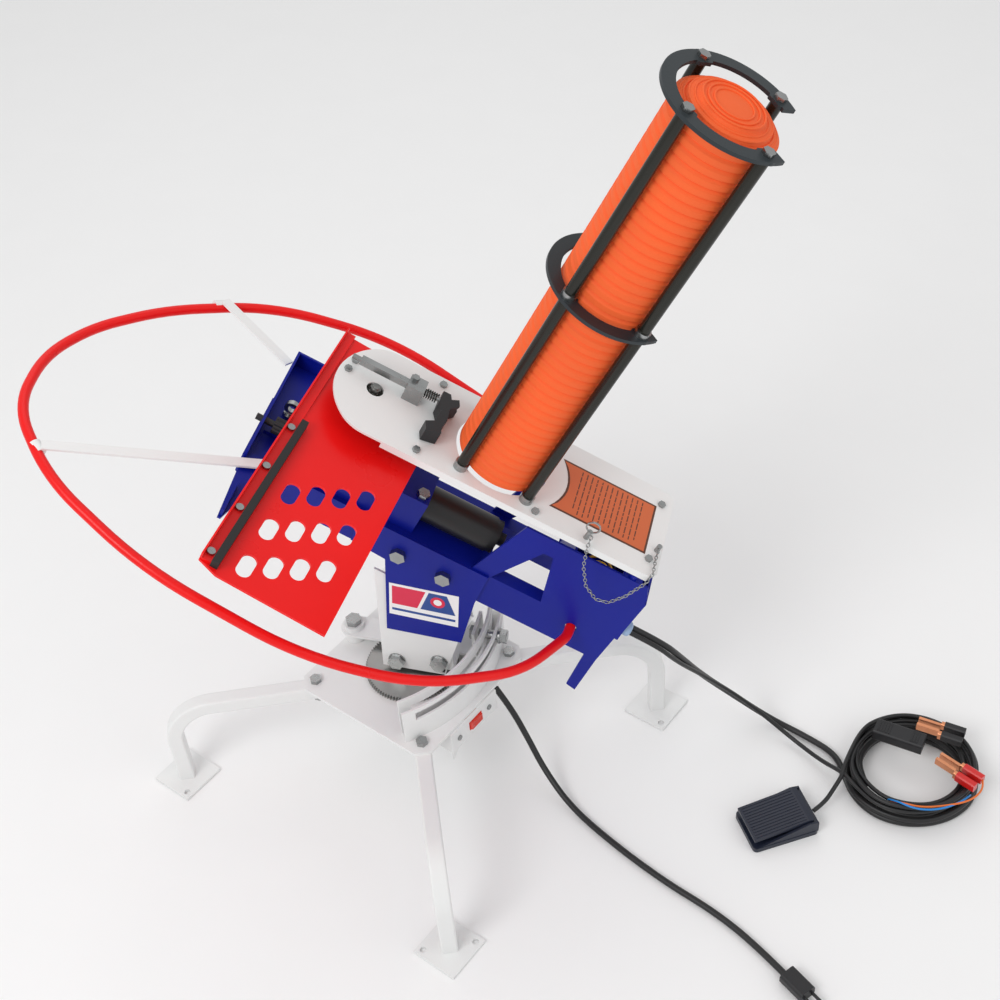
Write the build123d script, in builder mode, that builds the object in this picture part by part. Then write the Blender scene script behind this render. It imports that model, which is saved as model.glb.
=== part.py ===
"""Clay target thrower on a swinging wobble base, with its foot pedal, cables and battery clips.

The origin is on the floor under the centre of the base, +X is the throwing direction and +Z is up.
The thrower's head is drawn in its own tilted plane HEAD: x forward, y to the left, z up through
the magazine, with z = 0 on the top face of the magazine plate and the arm's spindle at x = y = 0.
"""

from build123d import *
from math import cos, sin, tan, radians, pi
import os

os.makedirs("parts", exist_ok=True)

# Driving dimensions, millimetres and degrees
PITCH = 28.2
SPINDLE = (9.0, -37.0, 563.5)
CLAY_R = 54.0
CLAY_PITCH = 11.4
CLAY_COUNT = 42
MAG_X = -158.0
ROD_DX = 40.0
ROD_DY = 48.0
ROD_R = 6.5
ROD_TOP = 500.0
PLATE_HALF = 67.5
PLATE_REAR_X = -364.0
PLATE_THICK = 2.5
DECK_Z = -134.0
WEB_LOW = -182.0
BOX_TOP = -35.0
WEB_Y = 50.0
SHEET = 3.0
HOOP_Z = -150.0
HOOP_R = 6.0
ARM_Z = -27.0
ARM_TURN = 86.0
BASE_YAW = 21.3
BASE_TOP = 147.0
BASE_SIDE = 208.0
BASE_THICK = 4.0
FOOT_RADIUS = 311.0
LEG_SIZE = 20.0
PIVOT = (86.0, -37.0)
GUIDE_R = 184.0
FOLLOWER_Z = 186.0
GEAR_TEETH = 92
PINION_TEETH = 14
GEAR_MODULE = 1.25
TILT_AXLE = (13.5, 173.6)
TILT_CLAMP = (-41.5, 180.8)
CABLE_R = 4.0
THIN_R = 2.75

TILT = radians(PITCH)
HEAD = Plane(origin=SPINDLE, x_dir=(cos(TILT), 0, sin(TILT)), z_dir=(-sin(TILT), 0, cos(TILT)))


def deck(height):
    """Plane parallel to the magazine plate, at a height above it."""
    return HEAD.offset(height)


def side(y):
    """Upright plane along the head: local x forward, local y up, normal to the right."""
    return Plane(origin=HEAD.from_local_coords((0, y, 0)), x_dir=HEAD.x_dir, z_dir=-HEAD.y_dir)


def across(x):
    """Upright plane across the head: local x to the left, local y up, normal forward."""
    return Plane(origin=HEAD.from_local_coords((x, 0, 0)), x_dir=HEAD.y_dir, z_dir=HEAD.x_dir)


def upright(y):
    """World plane facing right: local x is +X and local y is +Z."""
    return Plane(origin=(0, y, 0), x_dir=(1, 0, 0), z_dir=(0, -1, 0))


def save(builder, name):
    builder.part.label = name
    export_step(builder.part, f"parts/{name}.step")


def discs(plane, points, radius, height):
    """Adds round bars standing on a plane to the part being built."""
    with BuildSketch(plane, mode=Mode.PRIVATE) as profile:
        with Locations(*points):
            Circle(radius)
    extrude(profile.sketch, amount=height)


def hex_heads(plane, points, across_flats, height):
    """Adds hexagon heads or nuts standing on a plane."""
    with BuildSketch(plane, mode=Mode.PRIVATE) as profile:
        with Locations(*points):
            RegularPolygon(across_flats / 2, 6, major_radius=False)
    extrude(profile.sketch, amount=height)


def box_between(low, high, plane=HEAD, mode=Mode.ADD):
    """Adds a block between two corners given in a plane's own coordinates."""
    middle = [(a + b) / 2 for a, b in zip(low, high)]
    with BuildSketch(plane.offset(low[2]), mode=Mode.PRIVATE) as footprint:
        with Locations((middle[0], middle[1])):
            Rectangle(high[0] - low[0], high[1] - low[1])
    extrude(footprint.sketch, amount=high[2] - low[2], dir=plane.z_dir, mode=mode)


def gear_outline(teeth, module, turn):
    """Trapezoid gear teeth as one closed outline."""
    tooth = 360 / teeth
    steps = ((-0.33, -1.2), (-0.14, 0.85), (0.14, 0.85), (0.33, -1.2))
    points = []
    for index in range(teeth):
        for share, depth in steps:
            angle = radians(turn + (index + share) * tooth)
            radius = module * (teeth / 2 + depth)
            points.append((radius * cos(angle), radius * sin(angle)))
    with BuildLine(mode=Mode.PRIVATE) as outline:
        Polyline(*points, close=True)
    make_face(outline.edges())


# Base ---------------------------------------------------------------------------------------

with BuildPart() as base_plate:
    with BuildSketch(Plane.XY.offset(BASE_TOP - BASE_THICK)) as plate_outline:
        Rectangle(BASE_SIDE, BASE_SIDE, rotation=BASE_YAW - 45)
        chamfer(plate_outline.vertices(), length=15)
        with PolarLocations(122, 4, BASE_YAW):
            Circle(4.2, mode=Mode.SUBTRACT)
        with Locations(PIVOT):
            Circle(5.9, mode=Mode.SUBTRACT)
        Circle(13, mode=Mode.SUBTRACT)
        with PolarLocations(GEAR_MODULE * (GEAR_TEETH + PINION_TEETH) / 2, 1, 250):
            Circle(6, mode=Mode.SUBTRACT)
    extrude(amount=BASE_THICK)
save(base_plate, "base_plate")


def make_leg(angle):
    """Bent square tube with its foot plate welded on."""
    turn = radians(angle)
    outward = Plane(origin=(0, 0, 0), x_dir=(cos(turn), sin(turn), 0), z_dir=(sin(turn), -cos(turn), 0))
    top = BASE_TOP - BASE_THICK - LEG_SIZE / 2
    bend = 55
    start = 75
    with BuildPart() as leg:
        with BuildLine(outward) as path:
            Line((start, top), (FOOT_RADIUS - bend, top))
            RadiusArc((FOOT_RADIUS - bend, top), (FOOT_RADIUS, top - bend), bend)
            Line((FOOT_RADIUS, top - bend), (FOOT_RADIUS, 3.5))
        with BuildSketch(Plane(path.line @ 0, x_dir=(0, 0, 1), z_dir=path.line % 0)):
            RectangleRounded(LEG_SIZE, LEG_SIZE, 3)
            Rectangle(LEG_SIZE - 4, LEG_SIZE - 4, mode=Mode.SUBTRACT)
        sweep(path=path.line)
        with BuildSketch(Plane.XY):
            with PolarLocations(FOOT_RADIUS, 1, angle):
                Rectangle(60, 60, rotation=45)
            with Locations(*[foot_hole(angle, where) for where in (-31, 31)]):
                Circle(4, mode=Mode.SUBTRACT)
        extrude(amount=4)
        with BuildSketch(Plane.XY.offset(BASE_TOP - BASE_THICK - LEG_SIZE)):
            with PolarLocations(122, 1, angle):
                Circle(4.2)
        extrude(amount=LEG_SIZE, mode=Mode.SUBTRACT)
    return leg


def foot_hole(angle, where):
    """Place of a foot plate's hole, at a distance sideways from the leg."""
    turn = radians(angle)
    return (FOOT_RADIUS * cos(turn) - where * sin(turn), FOOT_RADIUS * sin(turn) + where * cos(turn))


for leg_index, leg_name in enumerate(("leg_front", "leg_left", "leg_rear", "leg_right")):
    save(make_leg(BASE_YAW + 90 * leg_index), leg_name)

EDGE = radians(BASE_YAW + 135)
PANEL = Plane(
    origin=((BASE_SIDE / 2 + 0.5) * cos(EDGE), (BASE_SIDE / 2 + 0.5) * sin(EDGE), 120),
    x_dir=(sin(EDGE), -cos(EDGE), 0),
    z_dir=(cos(EDGE), sin(EDGE), 0),
)

ROCKER_AT = (10, -6)
PANEL_SCREWS = ((-16, -6), (42, -6))

with BuildPart() as switch_panel:
    with BuildSketch(PANEL):
        with BuildLine():
            Polyline((-32, -23), (56, -23), (56, 23), (44, 10), (-32, 10), close=True)
        make_face()
        with Locations(ROCKER_AT):
            Rectangle(24.6, 14.6, mode=Mode.SUBTRACT)
        with Locations(*PANEL_SCREWS):
            Circle(2.1, mode=Mode.SUBTRACT)
    extrude(amount=2)
    for wall_x in (-32, 54):
        box_between((wall_x, -22.8, -30), (wall_x + 2, 10, 0.5), PANEL)
save(switch_panel, "switch_panel")

with BuildPart() as rocker_switch:
    rocker_low = (ROCKER_AT[0] - 11.5, ROCKER_AT[1] - 7, -6)
    rocker_high = (ROCKER_AT[0] + 11.5, ROCKER_AT[1] + 7, 2.6)
    box_between(rocker_low, rocker_high, PANEL)
    with BuildSketch(PANEL.offset(2.6)):
        with Locations(ROCKER_AT):
            Rectangle(21, 12)
    extrude(amount=2.5, taper=12)
save(rocker_switch, "rocker_switch")

CORNERS = [(122 * cos(radians(BASE_YAW + 90 * i)), 122 * sin(radians(BASE_YAW + 90 * i))) for i in range(4)]
with BuildPart() as base_fasteners:
    hex_heads(Plane.XY.offset(BASE_TOP), CORNERS, 13, 5.5)
    discs(Plane.XY.offset(BASE_TOP - 34), CORNERS, 4, 34.5)
    hex_heads(Plane.XY.offset(BASE_TOP - BASE_THICK - LEG_SIZE - 6), CORNERS, 13, 6)
    discs(PANEL.offset(-3), PANEL_SCREWS, 2, 5)
    discs(PANEL.offset(2), PANEL_SCREWS, 3.6, 1.8)
    discs(Plane.XY.offset(BASE_TOP - 12), [PIVOT], 5.85, 44)
    hex_heads(Plane.XY.offset(BASE_TOP + 27), [PIVOT], 18, 7)
    hex_heads(Plane.XY.offset(BASE_TOP - BASE_THICK - 7), [PIVOT], 18, 7)
save(base_fasteners, "base_fasteners")

GEAR_GAP = GEAR_MODULE * (GEAR_TEETH + PINION_TEETH) / 2
PINION_AT = (GEAR_GAP * cos(radians(250)), GEAR_GAP * sin(radians(250)))

with BuildPart() as wobble_motor:
    wobble_low = (PINION_AT[0] - 25, PINION_AT[1] - 20, 113)
    wobble_high = (PINION_AT[0] + 25, PINION_AT[1] + 20, 142.7)
    box_between(wobble_low, wobble_high, Plane.XY)
    with BuildSketch(upright(PINION_AT[1] + 20)):
        with Locations((PINION_AT[0] + 2, 127)):
            Circle(15)
    extrude(amount=-70)
    discs(Plane.XY.offset(142.7), [PINION_AT], 3.96, 7)
save(wobble_motor, "wobble_motor")

with BuildPart() as drive_pinion:
    with BuildSketch(Plane.XY.offset(147.5)):
        with Locations(PINION_AT):
            with BuildSketch(mode=Mode.PRIVATE) as pinion_teeth:
                gear_outline(PINION_TEETH, GEAR_MODULE, 70 + 180 / PINION_TEETH)
            add(pinion_teeth.sketch)
            Circle(4, mode=Mode.SUBTRACT)
    extrude(amount=8)
save(drive_pinion, "drive_pinion")

with BuildPart() as crank_gear:
    with BuildSketch(Plane.XY.offset(148)):
        gear_outline(GEAR_TEETH, GEAR_MODULE, 250)
    extrude(amount=6)
    discs(Plane.XY.offset(140), [(0, 0)], 12.95, 8.5)
save(crank_gear, "crank_gear")


def curved_band(centre, inner, outer, start_angle, end_angle, mode=Mode.ADD):
    """Flat curved strip around a centre."""
    points = []
    for radius in (inner, outer):
        for angle in (start_angle, (start_angle + end_angle) / 2, end_angle):
            turn = radians(angle)
            points.append((centre[0] + radius * cos(turn), centre[1] + radius * sin(turn)))
    with BuildLine(mode=Mode.PRIVATE) as outline:
        ThreePointArc(points[0], points[1], points[2])
        Line(points[2], points[5])
        ThreePointArc(points[5], points[4], points[3])
        Line(points[3], points[0])
    make_face(outline.edges(), mode=mode)


GUIDE_START = 126
GUIDE_END = 204

with BuildPart() as arc_guide:
    with BuildSketch(Plane.XY.offset(BASE_TOP)):
        curved_band(PIVOT, GUIDE_R - 10, GUIDE_R + 6, GUIDE_START, GUIDE_END)
    extrude(amount=3)
    for wall_r, wall_height in ((GUIDE_R - 10, 60), (GUIDE_R + 3, 52)):
        with BuildSketch(Plane.XY.offset(BASE_TOP)):
            curved_band(PIVOT, wall_r, wall_r + 3, GUIDE_START, GUIDE_END)
        extrude(amount=wall_height)
    with BuildSketch(Plane.XY.offset(FOLLOWER_Z - 6.5)):
        curved_band(PIVOT, GUIDE_R - 14, GUIDE_R + 12, GUIDE_START + 5, GUIDE_END - 5)
    extrude(amount=13, mode=Mode.SUBTRACT)
save(arc_guide, "arc_guide")

# Swinging platform ---------------------------------------------------------------------------

HEAD_Y = SPINDLE[1]
YOKE_HALF = 47
CHEEK_ANGLE = 172.5
CLAMP_REACH = 55.5

with BuildPart() as swing_platform:
    with BuildSketch(Plane.XY.offset(163)):
        with Locations((-14, HEAD_Y)):
            Rectangle(88, 2 * YOKE_HALF - 0.6)
        with Locations((56, HEAD_Y)):
            Rectangle(60, 34)
        with Locations((-69, HEAD_Y)):
            Rectangle(22, 40)
        with Locations(PIVOT):
            Circle(17)
            Circle(5.9, mode=Mode.SUBTRACT)
    extrude(amount=4)
    with BuildSketch(Plane.XY.offset(BASE_TOP + 0.3)):
        with Locations(PIVOT):
            Circle(13)
            Circle(5.9, mode=Mode.SUBTRACT)
    extrude(amount=26.2)
    for cheek_y in (HEAD_Y + YOKE_HALF - 0.3, HEAD_Y - YOKE_HALF + 0.3 + SHEET):
        with BuildSketch(upright(cheek_y)):
            with BuildLine():
                Polyline((28, 163), (28, 192), (-58, 200), (-58, 163), close=True)
            make_face()
            with Locations(TILT_AXLE, TILT_CLAMP):
                Circle(6.05, mode=Mode.SUBTRACT)
        extrude(amount=SHEET)
    box_between((-80, HEAD_Y - 20, 163), (-76, HEAD_Y + 20, 204), Plane.XY)
    with BuildSketch(Plane(origin=(-74, HEAD_Y, FOLLOWER_Z), x_dir=(0, 1, 0), z_dir=(-1, 0, 0))):
        Circle(6)
    extrude(amount=8, mode=Mode.SUBTRACT)
save(swing_platform, "swing_platform")

FOLLOWER = Plane(origin=(-73, HEAD_Y, FOLLOWER_Z), x_dir=(0, 1, 0), z_dir=(-1, 0, 0))
with BuildPart() as swing_bolts:
    discs(FOLLOWER, [(0, 0)], 5.9, 43)
    hex_heads(FOLLOWER.offset(-4), [(0, 0)], 16, 7)
    discs(FOLLOWER.offset(32.5), [(0, 0)], 10, 2)
    hex_heads(FOLLOWER.offset(34.5), [(0, 0)], 16, 8)
    near_face = HEAD_Y + WEB_Y
    for bolt_plane in (upright(near_face), upright(HEAD_Y - WEB_Y + 10)):
        discs(bolt_plane, [TILT_AXLE, TILT_CLAMP], 6, 10)
    discs(upright(near_face + 1.8), [TILT_AXLE, TILT_CLAMP], 11, 1.7)
    hex_heads(upright(near_face + 8.5), [TILT_AXLE, TILT_CLAMP], 18, 7)
    discs(upright(HEAD_Y - WEB_Y - 0.1), [TILT_AXLE, TILT_CLAMP], 11, 1.7)
    hex_heads(upright(HEAD_Y - WEB_Y - 1.5), [TILT_AXLE, TILT_CLAMP], 18, 7)
save(swing_bolts, "swing_bolts")

# Tilting frame -------------------------------------------------------------------------------

with BuildPart() as tilt_bracket:
    for cheek_y in (HEAD_Y + WEB_Y, HEAD_Y - WEB_Y + SHEET):
        with BuildSketch(upright(cheek_y)):
            with BuildLine():
                Polyline((33, 160), (24, 332), (-92, 270), (-70, 225), (-47, 157), close=True)
            make_face()
            with Locations(TILT_AXLE):
                Circle(6.05, mode=Mode.SUBTRACT)
            curved_band(TILT_AXLE, CLAMP_REACH - 6.4, CLAMP_REACH + 6.4, CHEEK_ANGLE - 7, CHEEK_ANGLE + 23,
                        Mode.SUBTRACT)
        extrude(amount=SHEET)
    box_between((-20, HEAD_Y - WEB_Y + SHEET, 268), (-17, HEAD_Y + WEB_Y - SHEET, 300), Plane.XY)
save(tilt_bracket, "tilt_bracket")

FRAME_BOLTS = ((-111.3, -165.4), (-169.6, -166.2))
OPEN_HALF = 32
FRAME_REAR = -378
FRAME_FRONT = 98

with BuildPart() as main_frame:
    with BuildSketch(deck(DECK_Z - SHEET)):
        with Locations(((FRAME_REAR + FRAME_FRONT) / 2, 0)):
            Rectangle(FRAME_FRONT - FRAME_REAR, 2 * WEB_Y)
        with Locations(((FRAME_REAR - 205) / 2, 0)):
            Rectangle(-205 - FRAME_REAR, 2 * OPEN_HALF, mode=Mode.SUBTRACT)
        Circle(13, mode=Mode.SUBTRACT)
        with Locations((72, -30)):
            Circle(4.2, mode=Mode.SUBTRACT)
    extrude(amount=SHEET)
    for web_y in (WEB_Y, -WEB_Y + SHEET):
        with BuildSketch(side(web_y)):
            with BuildLine():
                Polyline((FRAME_FRONT, DECK_Z), (FRAME_REAR, DECK_Z), (FRAME_REAR, WEB_LOW), (-382, -248),
                         (-369, -245), (-362, WEB_LOW), (80, WEB_LOW), (FRAME_FRONT, WEB_LOW + 18),
                         close=True)
            make_face()
            with Locations(*FRAME_BOLTS):
                Circle(5.2, mode=Mode.SUBTRACT)
        extrude(amount=SHEET)
    for hole_y in (WEB_Y + 1, -WEB_Y + SHEET + 1):
        with BuildSketch(side(hole_y)):
            with Locations((-328, HOOP_Z)):
                Circle(HOOP_R + 0.9)
        extrude(amount=SHEET + 2, mode=Mode.SUBTRACT)
save(main_frame, "main_frame")

PEDESTAL_GAP = 0.2
POSTS = ((-350, 44), (-350, -44))
with BuildPart() as pedestal:
    for wall_y in (WEB_Y + SHEET + PEDESTAL_GAP, -WEB_Y - PEDESTAL_GAP):
        with BuildSketch(side(wall_y)):
            with BuildLine():
                Polyline((-50, -134.5), (-55, -180), (-101, -184), (-147.5, -296), (-233, -259),
                         (-218, -184), (-214, -134.5), close=True)
            make_face()
            with Locations(*FRAME_BOLTS):
                Circle(5.2, mode=Mode.SUBTRACT)
        extrude(amount=SHEET)
save(pedestal, "pedestal")

KNOB_Z = DECK_Z + 15

with BuildPart() as front_bracket:
    with BuildSketch(deck(DECK_Z)):
        with BuildLine():
            Polyline((62, -115), (96, -115), (96, 62), (90, 150), (86, 150), (62, 62), close=True)
        make_face()
        with Locations((75, 25)):
            Rectangle(28, 40, mode=Mode.SUBTRACT)
        with Locations((72, -30)):
            Circle(4.2, mode=Mode.SUBTRACT)
    extrude(amount=SHEET)
    box_between((93, -115, DECK_Z), (96, 56, DECK_Z + 24))
    box_between((62, -115, DECK_Z), (96, -112, DECK_Z + 24))
    box_between((86, 100, DECK_Z), (89, 148, DECK_Z + 14))
    with BuildSketch(across(90)):
        with Locations((2, KNOB_Z)):
            Circle(4.2)
    extrude(amount=10, mode=Mode.SUBTRACT)
save(front_bracket, "front_bracket")

with BuildPart() as spring_anchor:
    discs(deck(-168), [(72, -30)], 4, 46)
    hex_heads(deck(DECK_Z + SHEET), [(72, -30)], 13, 6)
    hex_heads(deck(DECK_Z - SHEET - 6), [(72, -30)], 13, 6)
    with BuildSketch(side(-27)):
        with Locations((72, -114)):
            Circle(9)
            Circle(4.5, mode=Mode.SUBTRACT)
    extrude(amount=6)
save(spring_anchor, "spring_anchor")

with BuildPart() as tension_knob:
    discs(across(60), [(2, KNOB_Z)], 4, 44)
    with BuildSketch(across(68)):
        with Locations((2, KNOB_Z)):
            Circle(8)
            with PolarLocations(8, 6):
                Circle(2.5)
    extrude(amount=14)
save(tension_knob, "tension_knob")

with BuildPart() as main_spring:
    with BuildSketch(across(42)):
        with Locations((-30, -160)):
            Circle(9)
            Circle(5.5, mode=Mode.SUBTRACT)
    extrude(amount=24)
save(main_spring, "main_spring")

with BuildPart() as rear_box:
    for wall_y in (WEB_Y, -WEB_Y + SHEET):
        with BuildSketch(side(wall_y)):
            with BuildLine():
                Polyline((-217, BOX_TOP), (-370, BOX_TOP), (-378, -53), (-382, DECK_Z), (-281, DECK_Z),
                         (-262, -60), (-250, -60), (-216, DECK_Z), (-192, DECK_Z), close=True)
            make_face()
        extrude(amount=SHEET)
    box_between((-381, -WEB_Y, DECK_Z), (-378, WEB_Y, -60))
    box_between((-284, -WEB_Y, DECK_Z), (-281, WEB_Y, -52))
    box_between((-378, -OPEN_HALF - 12, DECK_Z), (-284, OPEN_HALF + 12, DECK_Z + 2))
    for tab_y in (WEB_Y - 13, -WEB_Y):
        box_between((-362, tab_y, BOX_TOP - SHEET), (-338, tab_y + 13, BOX_TOP))
    discs(deck(BOX_TOP), POSTS, 5, -PLATE_THICK - BOX_TOP)
save(rear_box, "rear_box")

GLAND_Y = 37.5
GLAND_Z = -122
with BuildPart() as cable_gland:
    with BuildSketch(across(-391)):
        with Locations((GLAND_Y, GLAND_Z)):
            Circle(9)
    extrude(amount=10)
    chamfer(cable_gland.faces().sort_by(Axis(HEAD.origin, HEAD.x_dir))[0].edges(), length=2)
save(cable_gland, "cable_gland")

# Drive ---------------------------------------------------------------------------------------

MOTOR_Y = 13
MOTOR_Z = -109
with BuildPart() as gear_motor:
    with BuildSketch(across(-195)):
        with Locations((MOTOR_Y, MOTOR_Z)):
            Circle(21.5)
    extrude(amount=83)
    with BuildSketch(across(-203)):
        with Locations((MOTOR_Y, MOTOR_Z)):
            Circle(20)
    extrude(amount=8)
    with BuildSketch(across(-212)):
        with Locations((MOTOR_Y, MOTOR_Z)):
            Circle(8)
    extrude(amount=9)
save(gear_motor, "gear_motor")

with BuildPart() as gearbox:
    box_between((-112, -27, DECK_Z), (36, 43, -82))
    discs(deck(-82), [(0, 0)], 20, 17)
    box_between((-108, -23, DECK_Z + 4), (32, 39, -86), mode=Mode.SUBTRACT)
    with BuildSketch(deck(DECK_Z - 1)):
        Circle(13)
    extrude(amount=80, mode=Mode.SUBTRACT)
save(gearbox, "gearbox")

with BuildPart() as spindle_bearings:
    for bearing_z in (DECK_Z + 0.5, -74):
        with BuildSketch(deck(bearing_z)):
            Circle(12.95)
            Circle(8.06, mode=Mode.SUBTRACT)
        extrude(amount=8)
    with BuildSketch(deck(-9)):
        Circle(20)
        Circle(6.06, mode=Mode.SUBTRACT)
    extrude(amount=9 - PLATE_THICK)
save(spindle_bearings, "spindle_bearings")

with BuildPart() as motor_shaft:
    with BuildSketch(across(-105)):
        with Locations((MOTOR_Y, MOTOR_Z)):
            Circle(4)
    extrude(amount=90)
    with BuildSketch(across(-31)):
        with Locations((MOTOR_Y, MOTOR_Z)):
            Circle(8)
    extrude(amount=14)
save(motor_shaft, "motor_shaft")

with BuildPart() as spindle:
    discs(deck(-162), [(0, 0)], 8, 138)
    discs(deck(-24), [(0, 0)], 6, 21.6)
    discs(deck(-125), [(0, 0)], 22.5, 7)
    discs(deck(-2.5), [(0, 0)], 4, 8)
    hex_heads(deck(-2.4), [(0, 0)], 11, 5.5)
    with BuildSketch(deck(-156)):
        Circle(15)
        with Locations((-14, 0)):
            Rectangle(28, 18)
        with Locations((-28, 0)):
            Circle(9)
    extrude(amount=8)
    discs(deck(-172), [(-28, 0)], 4, 16)
save(spindle, "spindle")

# Throwing arm --------------------------------------------------------------------------------

ARM = Plane(
    origin=HEAD.from_local_coords((0, 0, ARM_Z)),
    x_dir=(HEAD.x_dir * cos(radians(ARM_TURN)) + HEAD.y_dir * sin(radians(ARM_TURN))).normalized(),
    z_dir=HEAD.z_dir,
)
ARM_TIP = 310
ARM_SHEET = 3.0
SLOT_COLUMNS = (-19.6, 3.8, 27.2, 50.6)
SCREW_AT = (94, 159, 225, 291)

with BuildPart() as arm_plate:
    with BuildSketch(ARM):
        with BuildLine():
            Polyline((-80, -62), (302, -62), (ARM_TIP, -40), (ARM_TIP, 80), (-40, 80), (-80, 50), close=True)
        make_face()
        Circle(8.03, mode=Mode.SUBTRACT)
        for column, offset_y in enumerate(SLOT_COLUMNS):
            with Locations(*[(171.8 + 55 * row - 14.6 * column, offset_y) for row in range(3)]):
                SlotOverall(30, 16, mode=Mode.SUBTRACT)
    extrude(amount=ARM_SHEET)
    with BuildSketch(deck(-63)):
        Circle(20)
        Circle(8.03, mode=Mode.SUBTRACT)
    extrude(amount=63 + ARM_Z)
save(arm_plate, "arm_plate")

with BuildPart() as arm_rail:
    with BuildSketch(ARM.offset(ARM_SHEET)):
        with Locations((110, -56)):
            Rectangle(384, 12)
    extrude(amount=3)
    with BuildSketch(ARM.offset(ARM_SHEET + 3)):
        with Locations((110, -61)):
            Rectangle(384, 2)
    extrude(amount=7)
save(arm_rail, "arm_rail")

with BuildPart() as rubber_strip:
    with BuildSketch(ARM.offset(ARM_SHEET)):
        with Locations((192, -45.9)):
            Rectangle(224, 8)
    extrude(amount=10)
save(rubber_strip, "rubber_strip")

with BuildPart() as rail_screws:
    with BuildSketch(ARM.offset(ARM_SHEET + 3)):
        with Locations(*[(along, -55.5) for along in SCREW_AT]):
            Circle(4.2)
    extrude(amount=3)
save(rail_screws, "rail_screws")

# Magazine plate and rack ---------------------------------------------------------------------

RODS = [(MAG_X + dx, dy) for dx in (-ROD_DX, ROD_DX) for dy in (-ROD_DY, ROD_DY)]
PIN_AT = (-275, 58)
HEAD_AXIS = Axis((0, 0, 0), (1, 0, 0))
CHAIN_STUD = (-357, 26)
PLATE_BOLTS = ((-67, 56), (-67, -56), (-212, 58), (-212, -58), (36, -9), (33, -26))

with BuildPart() as magazine_plate:
    with BuildSketch(deck(-PLATE_THICK)):
        with BuildLine():
            ThreePointArc((5, PLATE_HALF), (46, 0), (5, -PLATE_HALF))
            Polyline((5, -PLATE_HALF), (PLATE_REAR_X + 8, -PLATE_HALF), (PLATE_REAR_X, -PLATE_HALF + 8),
                     (PLATE_REAR_X, PLATE_HALF - 8), (PLATE_REAR_X + 8, PLATE_HALF), (5, PLATE_HALF))
        nose = make_face()
        fillet(nose.vertices().sort_by(HEAD_AXIS)[-2:], radius=42)
        Circle(10, mode=Mode.SUBTRACT)
        with Locations((MAG_X, 0)):
            Circle(CLAY_R + 2, mode=Mode.SUBTRACT)
        with Locations(*RODS):
            Circle(4.2, mode=Mode.SUBTRACT)
        with Locations(PIN_AT):
            Circle(3.06, mode=Mode.SUBTRACT)
    extrude(amount=PLATE_THICK)
    for rim_y in (PLATE_HALF - PLATE_THICK, -PLATE_HALF):
        box_between((PLATE_REAR_X + 8, rim_y, -9), (-30, rim_y + PLATE_THICK, -PLATE_THICK))
save(magazine_plate, "magazine_plate")

with BuildPart() as head_bolts:
    for bolt_x, bolt_z in FRAME_BOLTS:
        for start, head_at in ((WEB_Y + 9, WEB_Y + 10.2), (-WEB_Y + 6, -WEB_Y - 3.2)):
            discs(side(start), [(bolt_x, bolt_z)], 5.1, 15)
            hex_heads(side(head_at), [(bolt_x, bolt_z)], 17, 7)
    hex_heads(deck(DECK_Z), [(-60, -38), (48, -38)], 13, 6)
    hex_heads(deck(-82), [(-102, 33), (26, -18)], 13, 6)
    hex_heads(deck(0), PLATE_BOLTS + POSTS, 8, 3.5)
    discs(deck(0), [CHAIN_STUD], 3, 9)
save(head_bolts, "head_bolts")

with BuildPart() as magazine_rods:
    discs(deck(0), RODS, ROD_R, ROD_TOP)
    discs(deck(-9), RODS, 4.1, 9)
save(magazine_rods, "magazine_rods")

def magazine_ring(height, hole_radius):
    """Horseshoe ring around the rods, open toward the rear."""
    with BuildPart() as ring:
        with BuildSketch(deck(height)):
            with Locations((MAG_X, 0)):
                Circle(72.6)
                Circle(58, mode=Mode.SUBTRACT)
            with Locations(*RODS):
                Circle(10.5)
                Circle(hole_radius, mode=Mode.SUBTRACT)
            with BuildLine():
                Polyline((MAG_X, 0), (MAG_X - 82, -64), (MAG_X - 82, 64), close=True)
            make_face(mode=Mode.SUBTRACT)
            with Locations((MAG_X, 0)):
                Circle(CLAY_R + 0.8, mode=Mode.SUBTRACT)
        extrude(amount=4)
    return ring


save(magazine_ring(267, ROD_R + 0.03), "middle_ring")
save(magazine_ring(ROD_TOP, 3), "top_ring")

with BuildPart() as rod_collars:
    for collar_z, collar_height in ((0, 9), (271, 6)):
        with BuildSketch(deck(collar_z)):
            with Locations(*RODS):
                Circle(8)
                Circle(ROD_R + 0.03, mode=Mode.SUBTRACT)
        extrude(amount=collar_height)
    hex_heads(deck(ROD_TOP + 4), RODS, 11, 4.5)
save(rod_collars, "rod_collars")


def clay_profile(bottom, count):
    """Half outline of a stack of clays, each with a rim and a groove under the next."""
    points = [(0, bottom)]
    for index in range(count):
        low = bottom + index * CLAY_PITCH
        points += [(CLAY_R - 2.5, low), (CLAY_R, low + 1.8), (CLAY_R, low + 8)]
    top = bottom + count * CLAY_PITCH
    points += [(CLAY_R - 2.5, top), (0, top)]
    return points


MAG_PLANE = side(0)
MAG_AXIS = Axis(HEAD.from_local_coords((MAG_X, 0, 0)), HEAD.z_dir)
STACK_BOTTOM = 3.0
STACK_TOP = STACK_BOTTOM + CLAY_COUNT * CLAY_PITCH

with BuildPart() as clay_stack:
    with BuildSketch(MAG_PLANE):
        with BuildLine():
            Polyline(*[(MAG_X + r, z) for r, z in clay_profile(STACK_BOTTOM, CLAY_COUNT)], close=True)
        make_face()
    revolve(axis=MAG_AXIS)
save(clay_stack, "clay_stack")

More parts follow.
